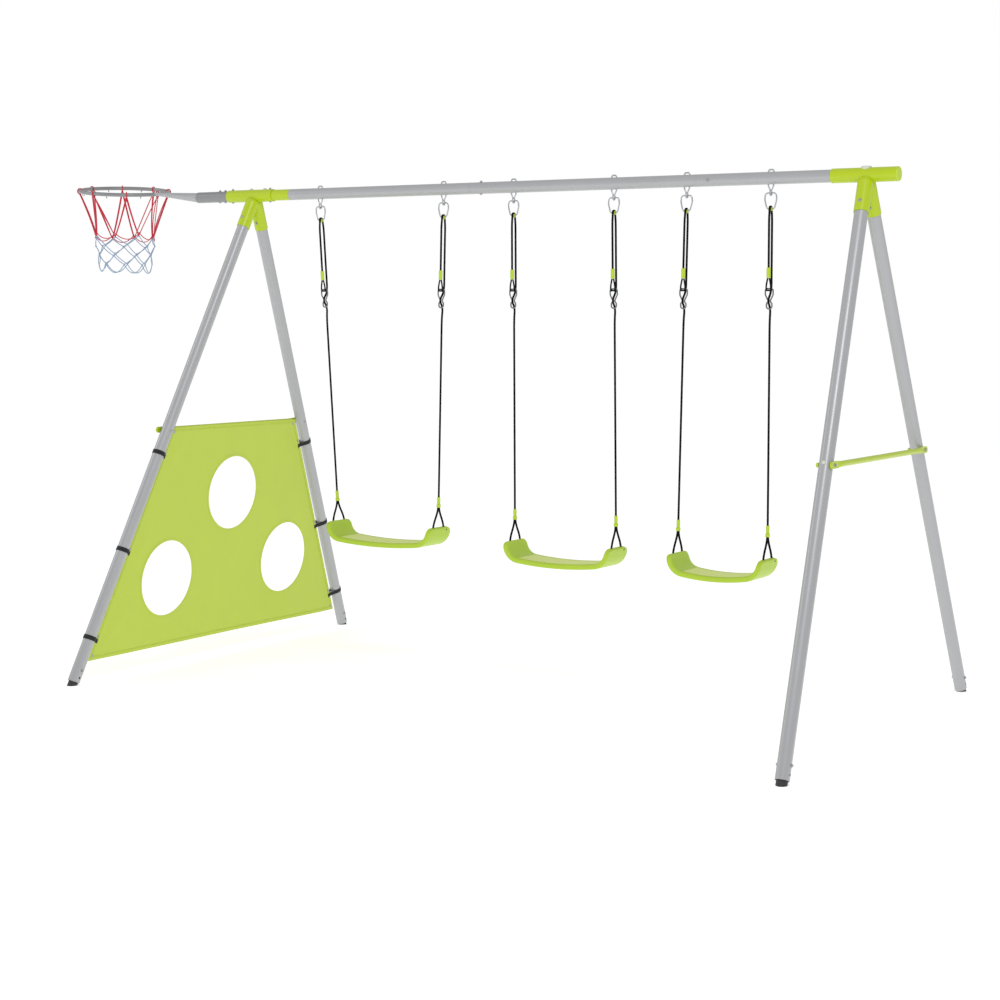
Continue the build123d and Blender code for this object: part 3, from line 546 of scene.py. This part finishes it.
def seat_piece(swing):
    """The seat's shell with its pad, whose grain and slight sink are real and whose paler colour is a
    painted sheen of the sky on the top, and its screws.
    """
    place = PLACES[swing]
    half, flat, total = seat_curve(swing)
    centre = Vector((BEAM_MID_X + SEAT_MID[swing], 0, SEAT_TOP[swing] - WING_HEIGHT))
    stations = [(-x, z, -a, -s) for x, z, a, s in reversed(half[1:])] + half
    points, picks = [], []
    for x, z, a, s in stations:
        left = total - abs(s)
        depth = SEAT_HALF_DEPTH
        if left < WING_CORNER:
            depth += math.sqrt(max(0, WING_CORNER**2 - (WING_CORNER - left) ** 2)) - WING_CORNER
        thick = SEAT_HALF_THICK
        if left < END_ROUND:
            thick += (math.sqrt(max(0, END_ROUND**2 - (END_ROUND - left) ** 2)) - END_ROUND) * 0.75
        recess = RECESS * (1 - smooth_step(flat - 0.03, flat + 0.012, abs(s)))
        pad = PAD_SINK if abs(s) < flat - 0.004 else 0.0
        section = seat_section(depth, thick, recess, pad)
        count = len(section)
        normal = Vector((-math.sin(a), 0, math.cos(a)))
        at = centre + Vector((x, 0, z))
        points += [at + Vector((0, y, 0)) + normal * t for y, t in section]
    # Faces on the flat part's pad get the pad material, which is painted paler to stand for the sky's
    # sheen.
    for a, b in zip(stations, stations[1:]):
        on_flat = (abs(a[3]) + abs(b[3])) / 2 < flat - 0.002
        picks += [int(on_flat and k in PAD_COLUMNS) for k in range(count)]
    faces = skin(len(stations), count) + caps(len(stations), count)
    picks += [0, 0]
    looks = [SEAT_EDGE, SEAT_PAD_GRAIN_AND_SHEEN]
    o = piece(f"seat_shell_{place}", points, faces, f"swing_{place}", looks, picks)
    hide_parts(f"seat_{place}")
    seat_screws(swing, half, centre)


for swing in range(len(PLACES)):
    seat_piece(swing)


# -------------------------------------------------------------- target sheet
SHEET_HALF_THICK = 0.00075
SHEET_ROWS, SHEET_COLUMNS = 74, 110
RIPPLE_DEPTH = 0.0045
HOLE_SIDES = 96
HEM_WIDTH = 0.015
HEM_THICK = 0.0007
HEM_STEPS = 60
HEM_OVERHANG = 0.0004
HOLE_RIM_WIDTH = 0.010
STITCH_STEP = 0.0045
STITCH_R = 0.0004
STITCH_LIFT = 0.0008

sheet_normal = Vector((-BEAM_Z, 0, SPLAY)).normalized()


def sheet_edge(side, z):
    """The sheet's edge on one side at a height."""
    share = (z - SHEET_BOTTOM) / (SHEET_TOP - SHEET_BOTTOM)
    return side * (SHEET_BOTTOM_HALF + share * (SHEET_TOP_HALF - SHEET_BOTTOM_HALF) + SHEET_SHIFT[side])


def ripple(y, z):
    """Slack in the cloth, dying out at the laced sides."""
    edge = abs(sheet_edge(1 if y > 0 else -1, z)) - abs(y)
    hold = smooth_step(0.0, 0.12, edge)
    slow = math.sin(5.1 * y + 2.2 * z + 0.6) * 0.55 + math.sin(9.3 * z - 3.7 * y) * 0.3
    quick = math.sin(23 * y + 6 * z) * 0.07 + math.sin(17 * z - 13 * y + 1) * 0.08
    pull = 0.0
    for height in STRAPS:
        near = math.exp(-(((z - height) / 0.035) ** 2))
        pull += near * math.exp(-((edge - 0.06) / 0.10) ** 2) * math.sin(edge * 55) * 0.35
    return RIPPLE_DEPTH * (slow * hold + quick * hold + pull * smooth_step(0.0, 0.05, edge))


def on_sheet(y, z, off):
    """Point on the rippled sheet at a depth and height, this far off its middle."""
    base = Vector((APEX_X[-1] - SPLAY * (1 - z / BEAM_Z), y, z))
    return base + sheet_normal * (ripple(y, z) + off)


def target_sheet():
    """Sheet with its three round holes, meshed so that the cut edges are round."""
    flat = bpy.data.meshes.new("flat")
    points, faces = [], []
    for j in range(SHEET_ROWS + 1):
        z = SHEET_BOTTOM + (SHEET_TOP - SHEET_BOTTOM) * j / SHEET_ROWS
        front, back = sheet_edge(-1, z), sheet_edge(1, z)
        points += [(front + (back - front) * i / SHEET_COLUMNS, z, 0) for i in range(SHEET_COLUMNS + 1)]
    for j in range(SHEET_ROWS):
        for i in range(SHEET_COLUMNS):
            a = j * (SHEET_COLUMNS + 1) + i
            faces.append((a, a + 1, a + SHEET_COLUMNS + 2, a + SHEET_COLUMNS + 1))
    flat.from_pydata(points, [], faces)
    cloth = add_object("flat", flat)
    thick = cloth.modifiers.new("thick", "SOLIDIFY")
    thick.thickness = 2 * SHEET_HALF_THICK
    thick.offset = 0
    cutters = []
    for y, z in TARGETS:
        points = [
            (y + TARGET_R * math.cos(a), z + TARGET_R * math.sin(a), h)
            for h in (-0.05, 0.05) for a in circle(HOLE_SIDES, 0.31)
        ]
        mesh = bpy.data.meshes.new("cutter")
        mesh.from_pydata(points, [], skin(2, HOLE_SIDES) + caps(2, HOLE_SIDES))
        cutter = add_object("cutter", mesh)
        cut = cloth.modifiers.new("cut", "BOOLEAN")
        cut.operation = "DIFFERENCE"
        cut.object = cutter
        cut.solver = "EXACT"
        cutters.append(cutter)
    scene_state = bpy.context.evaluated_depsgraph_get()
    done = bpy.data.meshes.new_from_object(cloth.evaluated_get(scene_state))
    points = [on_sheet(v.co.x, v.co.y, -v.co.z) for v in done.vertices]
    faces = [tuple(f.vertices) for f in done.polygons]
    for o in cutters + [cloth]:
        bpy.data.objects.remove(o)
    bpy.data.meshes.remove(done)
    return points, faces


def band(inner, outer, off):
    """Thin closed strip on the sheet between two lines of (y, z) points."""
    points = []
    for (y0, z0), (y1, z1) in zip(inner, outer):
        points.append(on_sheet(y0, z0, off))
        points.append(on_sheet(y1, z1, off))
        points.append(on_sheet(y1, z1, off + HEM_THICK))
        points.append(on_sheet(y0, z0, off + HEM_THICK))
    return points, skin(len(inner), 4) + caps(len(inner), 4)


def join(parts):
    """Several lists of points and faces as one."""
    points, faces = [], []
    for p, f in parts:
        base = len(points)
        points += p
        faces += [tuple(base + i for i in face) for face in f]
    return points, faces


def hem_lines():
    """The sheet's border, as lines a hem's width inside its edge and on the edge."""
    lines = []
    for side in (-1, 1):
        outer, inner = [], []
        for i in range(HEM_STEPS + 1):
            z = SHEET_BOTTOM + (SHEET_TOP - SHEET_BOTTOM) * i / HEM_STEPS
            outer.append((sheet_edge(side, z) + side * HEM_OVERHANG, z))
            inner.append((sheet_edge(side, z) - side * HEM_WIDTH * 1.09, z))
        lines.append((inner, outer))
    for level, way in ((SHEET_BOTTOM, 1), (SHEET_TOP, -1)):
        outer, inner = [], []
        front, back = (sheet_edge(side, level + way * HEM_WIDTH) for side in (-1, 1))
        for i in range(HEM_STEPS + 1):
            y = front + 0.001 + (back - front - 0.002) * i / HEM_STEPS
            outer.append((y, level - way * HEM_OVERHANG))
            inner.append((y, level + way * HEM_WIDTH))
        lines.append((inner, outer))
    return lines


def hole_rim(y, z, gap):
    """Closed circle of (y, z) points, this far outside a target hole."""
    r = TARGET_R + gap
    angles = [math.tau * k / HOLE_SIDES for k in range(HOLE_SIDES + 1)]
    return [(y + r * math.cos(a), z + r * math.sin(a)) for a in angles]


points, faces = target_sheet()
sheet = piece("target_sheet", points, faces, "frame", [SHEET], smooth=False)
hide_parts("goal_sheet")
strips = []
borders = hem_lines() + [
    (hole_rim(y, z, 0.0002), hole_rim(y, z, HOLE_RIM_WIDTH)) for y, z in TARGETS
]
for inner, outer in borders:
    strips.append(band(inner, outer, SHEET_HALF_THICK))
    strips.append(band(inner, outer, -SHEET_HALF_THICK - HEM_THICK))
points, faces = join(strips)
hem = piece("sheet_hem", points, faces, "frame", [HEM], smooth=False)
stitches = []
for inner, outer in hem_lines():
    for share in (0.12, 0.2):
        line = [
            Vector((i[0] + (o[0] - i[0]) * share, i[1] + (o[1] - i[1]) * share, 0))
            for i, o in zip(inner, outer)
        ]
        line = evenly(line, STITCH_STEP)
        for a, b in zip(line[::2], line[1::2]):
            for off in (SHEET_HALF_THICK + STITCH_LIFT, -SHEET_HALF_THICK - STITCH_LIFT):
                middle = on_sheet((a.x + b.x) / 2, (a.y + b.y) / 2, off * 1.25)
                stitches.append([on_sheet(a.x, a.y, off), middle, on_sheet(b.x, b.y, off)])
points, faces = tube_mesh(stitches, STITCH_R, 5)
thread = piece("sheet_stitching", points, faces, "frame", [HEM])


# -------------------------------------------------------------------- straps
STRAP_HALF_WIDTH, STRAP_HALF_THICK = 0.0085, 0.00095
STRAP_RIBS, RIB_SHARE = 7, 0.72
STRAP_GAP = 0.0013  # from the leg to the strap's middle
STRAP_FACE = 0.00185  # from the sheet's middle to the strap's middle
STRAP_TAIL = 0.015
STRAP_STEPS = 40


def strap_points(depth, height):
    """Band round a leg, riveted to both faces of the sheet."""
    down = Vector((-SPLAY, depth * FOOT_Y, -BEAM_Z)).normalized()
    apex = Vector((APEX_X[-1], 0, BEAM_Z))
    centre = apex + down * ((BEAM_Z - height) / -down.z)
    inward = Vector((0, -depth, 0))
    inward = (inward - down * inward.dot(down)).normalized()
    across = down.cross(inward)
    if across.x > 0:
        across = -across
    leg_y = FOOT_Y * (1 - height / BEAM_Z)
    lean = math.cos(math.atan(FOOT_Y / BEAM_Z))
    around = LEG_R + STRAP_GAP
    face = STRAP_FACE
    edge = max((leg_y - abs(sheet_edge(depth, height))) * lean, around + 0.002)
    reach = math.hypot(edge, face)
    turn = math.atan2(face, edge) + math.acos(around / reach)
    tail = edge + STRAP_TAIL
    line = [(tail, face), (tail - 0.006, face), (edge + 0.003, face), (edge, face)]
    for k in range(STRAP_STEPS + 1):
        a = turn + (math.tau - 2 * turn) * k / STRAP_STEPS
        line.append((around * math.cos(a), around * math.sin(a)))
    line += [(edge, -face), (edge + 0.003, -face), (tail - 0.006, -face), (tail, -face)]
    profile = []
    for k in range(STRAP_RIBS * 2 + 1):
        w = -STRAP_HALF_WIDTH + 2 * STRAP_HALF_WIDTH * k / (STRAP_RIBS * 2)
        profile.append((w, STRAP_HALF_THICK * (1.0 if k % 2 else RIB_SHARE)))
    profile += [(w, -t) for w, t in reversed(profile)]
    points = []
    for i, (u, v) in enumerate(line):
        a = line[max(0, i - 1)]
        b = line[min(len(line) - 1, i + 1)]
        t = Vector((b[0] - a[0], b[1] - a[1]))
        n = Vector((-t.y, t.x)).normalized()
        for w, h in profile:
            points.append(centre + inward * (u + n.x * h) + across * (v + n.y * h) + down * w)
    return points, skin(len(line), len(profile)) + caps(len(line), len(profile))


for depth, where in ((-1, "front"), (1, "back")):
    points, faces = join([strap_points(depth, z) for z in STRAPS])
    o = piece(f"strap_webbing_{where}", points, faces, "frame", [WEBBING])
    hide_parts(f"straps_{where}")


# ----------------------------------------------------------------------- net
random.seed(4)
LOOPS = 8
NODE_Z, NODE_R = 1.790, 0.134
NET_BOTTOM_Z, NET_BOTTOM_R = 1.652, 0.111
PALE_ROWS = 3
ROWS_TO_BOTTOM = 3.6
TWINE_R = 0.0020
TWINE_LAY = 0.009
TWINE_STEP = 0.003
HOOK_TURN = 0.42  # from a red loop to the next hook, in loops
HOOK_R = 0.004
hoop_x = Vector((math.cos(HOOP_TILT), 0, -math.sin(HOOP_TILT)))
hoop_normal = Vector((math.tan(HOOP_TILT), -math.tan(HOOP_TWIST), 1)).normalized()
hoop_y = hoop_normal.cross(hoop_x)


def net_point(turn, r, z, jitter=0.0):
    """Point round the hoop's axis, with turn in loops."""
    a = math.tau * turn / LOOPS
    a += random.uniform(-jitter, jitter) / max(r, 0.05)
    r += random.uniform(-jitter, jitter) * 0.5
    return Vector((HOOP_X + r * math.cos(a), r * math.sin(a), z + random.uniform(-jitter, jitter)))


def rim_point(turn, drop=0.0, out=0.0):
    """Point this far below and outside the hoop's centre line, with turn in loops."""
    a = math.tau * turn / LOOPS
    radial = hoop_x * math.cos(a) + hoop_y * math.sin(a)
    return Vector((HOOP_X, 0, HOOP_Z - drop)) + radial * (HOOP_R + out)


def sagging(a, b, sag, steps, inward):
    """Line between two points, hanging down a little in the middle."""
    line = []
    axis = Vector((HOOP_X, 0, 0))
    for k in range(steps + 1):
        t = k / steps
        p = a.lerp(b, t)
        bow = 4 * t * (1 - t)
        radial = Vector((p.x - axis.x, p.y, 0)).normalized()
        line.append(p - Vector((0, 0, sag * bow)) - radial * (inward * bow))
    return line


red_lines, pale_lines, loops = [], [], []
nodes = [net_point(k + 0.5, NODE_R, NODE_Z, 0.006) for k in range(LOOPS)]
for k in range(LOOPS):
    grip = rim_point(k, HOOP_WIRE + 0.004)
    for step in (0, -1):
        target = nodes[(k + step) % LOOPS]
        start = grip + Vector((0, 0, 0.001))
        for pair in (-1, 1):
            side = (target - start).cross(Vector((0, 0, 1))).normalized() * 0.0026 * pair
            inward = random.uniform(0.002, 0.010)
            red_lines.append(sagging(start + side, target + side * 0.6, 0.006, 12, inward))
    # A slack loop between this node and the next
    a, b = nodes[k], nodes[(k + 1) % LOOPS]
    lift = Vector((0, 0, 0.014))
    sag = random.uniform(0.016, 0.030)
    red_lines.append(sagging(a + lift, b + lift * 0.5, sag, 12, inward=-0.006))
    # The red loop round the hoop
    a = math.tau * k / LOOPS
    radial = Vector((math.cos(a), math.sin(a), 0))
    centre = rim_point(k)
    loop = []
    for t in circle(20):
        out = radial * math.cos(t) + Vector((0, 0, 1)) * math.sin(t) * 1.15
        loop.append(centre + (out - Vector((0, 0, 0.0008))) * (HOOP_WIRE + 0.0022))
    loops.append(loop)
rows = [nodes]
for row in range(1, PALE_ROWS + 1):
    share = row / ROWS_TO_BOTTOM
    r = NODE_R + (NET_BOTTOM_R - NODE_R) * share
    z = NODE_Z + (NET_BOTTOM_Z - NODE_Z) * share
    shift = 0.5 if row % 2 == 0 else 0.0
    rows.append([net_point(k + shift, r, z, 0.005) for k in range(LOOPS)])
for index in range(PALE_ROWS):
    above, below = rows[index], rows[index + 1]
    step = 1 if index % 2 == 0 else -1
    for k in range(LOOPS):
        for target in (below[k], below[(k + step) % LOOPS]):
            inward = random.uniform(-0.003, 0.004)
            pale_lines.append(sagging(above[k], target, 0.003, 8, inward))
last = rows[PALE_ROWS]
for k in range(LOOPS):
    sag = random.uniform(0.030, 0.040)
    inward = random.uniform(-0.006, 0.002)
    pale_lines.append(sagging(last[k], last[(k + 1) % LOOPS], sag, 14, inward))


def twine(angle, along):
    """Two strands laid round each other."""
    return 1 + 0.16 * math.cos(2 * angle - math.tau * along / TWINE_LAY)


def knots(points, radius):
    """Small lumpy knots."""
    out = []
    for p in points:
        knot, faces = [], []
        for k in range(9):
            t = math.pi * k / 8
            s, c = math.sin(t), math.cos(t)
            for a in circle(8):
                lump = radius * (1 + 0.18 * math.sin(3 * a + 4 * c))
                flat = lump * s
                knot.append(p + Vector((flat * math.cos(a), flat * math.sin(a), lump * 1.25 * c)))
        for i in range(8):
            for m in range(8):
                n = (m + 1) % 8
                faces.append((i * 8 + m, (i + 1) * 8 + m, (i + 1) * 8 + n, i * 8 + n))
        out.append((knot, faces))
    return out


def twine_tubes(lines, radius):
    """Laid twine along these lines."""
    return tube_mesh([spline_line(line, TWINE_STEP) for line in lines], radius, 8, lobes=twine)


points, faces = join(
    [twine_tubes(red_lines, TWINE_R), tube_mesh(loops, TWINE_R * 1.1, 8, closed=True)]
    + knots([p + Vector((0, 0, 0.004)) for p in nodes], 0.0036)
    + knots([rim_point(k, HOOP_WIRE + 0.0055) for k in range(LOOPS)], 0.0034)
)
red = piece("net_red", points, faces, "frame", [RED_TWINE])
lower_knots = [p for row in rows[1:] for p in row]
upper_knots = [p - Vector((0, 0, 0.003)) for p in nodes]
points, faces = join(
    [twine_tubes(pale_lines, TWINE_R * 0.95)] + knots(lower_knots + upper_knots, 0.0032)
)
pale = piece("net_pale", points, faces, "frame", [PALE_TWINE])
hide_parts("hoop_net")
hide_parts("hoop_net")

# Wire hooks under the hoop, between the net's loops
hooks = []
for k in range(LOOPS):
    a = math.tau * (k + HOOK_TURN) / LOOPS
    radial = Vector((math.cos(a), math.sin(a), 0))
    base = rim_point(k + HOOK_TURN, HOOP_WIRE - 0.001)
    line = [base, base - Vector((0, 0, HOOK_R))]
    for i in range(9):
        t = math.pi * i / 8
        drop = Vector((0, 0, HOOK_R + HOOK_R * math.sin(t)))
        line.append(base - drop - radial * (HOOK_R - HOOK_R * math.cos(t)))
    hooks.append(line)
points, faces = tube_mesh(hooks, 0.0013, 8)
piece("hoop_hooks", points, faces, "frame", [DARK_GREY])


def weld_ripples(angle, along):
    """Overlapping ripples along a weld."""
    return 1 + 0.18 * math.sin(math.tau * along / 0.004)


# Weld bead where the arm meets the hoop
weld = []
for drop in (0.005, -0.006):
    line = [rim_point((k - 9) / 9 * 0.17, drop, HOOP_WIRE - 0.001) for k in range(19)]
    weld.append(evenly(line, 0.0015))
points, faces = tube_mesh(weld, 0.0017, 8, lobes=weld_ripples)
piece("hoop_weld", points, faces, "frame", [DARK_GREY])


# --------------------------------------------------------------- surroundings
FLOOR_HALF = 60
FLOOR_DROP = 0.0005
FLOOR_GREY = 0.93
FLOOR_GLOW = 0.445
SKY_STRENGTH = 0.62

floor_mesh = bpy.data.meshes.new("floor")
corners = [(x * FLOOR_HALF, y * FLOOR_HALF, 0) for x, y in ((-1, -1), (1, -1), (1, 1), (-1, 1))]
floor_mesh.from_pydata(corners, [], [(0, 1, 2, 3)])
floor = add_object("floor", floor_mesh)
floor_material = bpy.data.materials.new("floor")
floor_material.use_nodes = True
surface = floor_material.node_tree.nodes["Principled BSDF"].inputs
surface["Base Color"].default_value = (FLOOR_GREY, FLOOR_GREY, FLOOR_GREY, 1)
surface["Roughness"].default_value = 1.0
surface["Specular IOR Level"].default_value = 0.0
surface["Emission Color"].default_value = (1, 1, 1, 1)
surface["Emission Strength"].default_value = FLOOR_GLOW
floor_mesh.materials.append(floor_material)
floor.location.z = -FLOOR_DROP

# The sky lights the scene at one strength and shows plain white to the camera
world = bpy.data.worlds.new("studio")
world.use_nodes = True
sky_nodes, sky_links = world.node_tree.nodes, world.node_tree.links
sky = sky_nodes["Background"]
sky.inputs["Color"].default_value = (1, 1, 1, 1)
sky.inputs["Strength"].default_value = SKY_STRENGTH
backdrop = sky_nodes.new("ShaderNodeBackground")
backdrop.inputs["Color"].default_value = (1, 1, 1, 1)
seen = sky_nodes.new("ShaderNodeLightPath")
choose = sky_nodes.new("ShaderNodeMixShader")
sky_links.new(seen.outputs["Is Camera Ray"], choose.inputs["Fac"])
sky_links.new(sky.outputs["Background"], choose.inputs[1])
sky_links.new(backdrop.outputs["Background"], choose.inputs[2])
sky_links.new(choose.outputs["Shader"], sky_nodes["World Output"].inputs["Surface"])
bpy.context.scene.world = world


def area_light(name, place, target, size, power):
    """Rectangular light turned towards a target."""
    light = bpy.data.lights.new(name, "AREA")
    light.shape = "RECTANGLE"
    light.size, light.size_y = size
    light.energy = power
    o = add_object(name, light)
    o.location = place
    o.rotation_euler = (Vector(target) - Vector(place)).to_track_quat("-Z", "Y").to_euler()


area_light("key", (3.5, -4.0, 5.5), (0, 0, 0.9), (2.2, 1.2), 75)
area_light("side", (-5.0, -2.5, 3.5), (-0.5, 0, 1.0), (1.0, 3.0), 28)
bpy.context.scene.view_settings.view_transform = "Standard"
